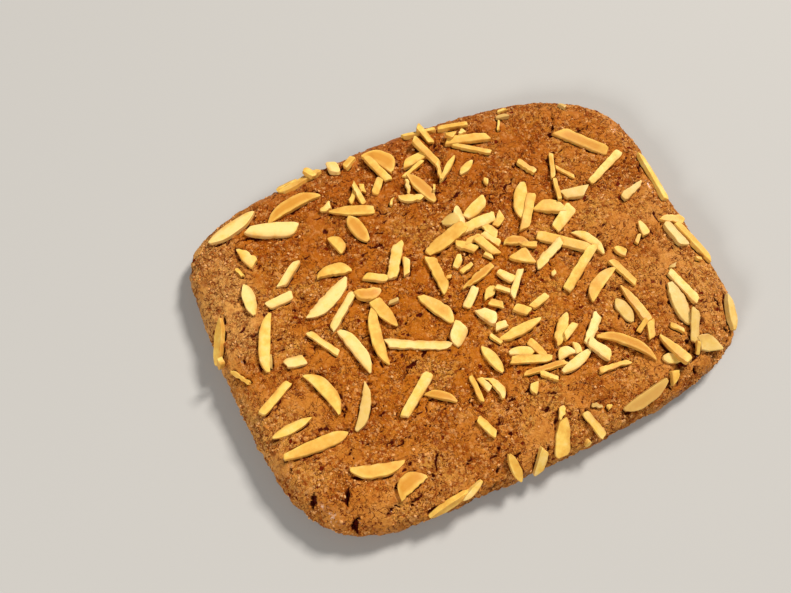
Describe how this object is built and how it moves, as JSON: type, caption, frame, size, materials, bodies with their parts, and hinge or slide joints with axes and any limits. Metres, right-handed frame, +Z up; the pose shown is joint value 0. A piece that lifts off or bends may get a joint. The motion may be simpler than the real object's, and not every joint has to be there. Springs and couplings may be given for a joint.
{
  "type": "thick almond speculaas",
  "caption": "Thick rounded rectangular speculaas biscuit with soft shoulders, a cracked crust and slivered almonds baked onto its top.",
  "frame": {"origin": "under the middle of the biscuit's bounding box, on the plane of its flat base", "axes": "+X along the long side, +Y along the short side towards the far edge, +Z up out of the almond-covered top"},
  "size_m": [0.1772, 0.1384, 0.0161],
  "materials": {
    "baked_crust": "baked spiced dough, matt with faintly glossy patches",
    "almond": "toasted cut almond, satin"
  },
  "bodies": {
    "root": {"speculaas": "baked_crust"}
  },
  "joints": []
}
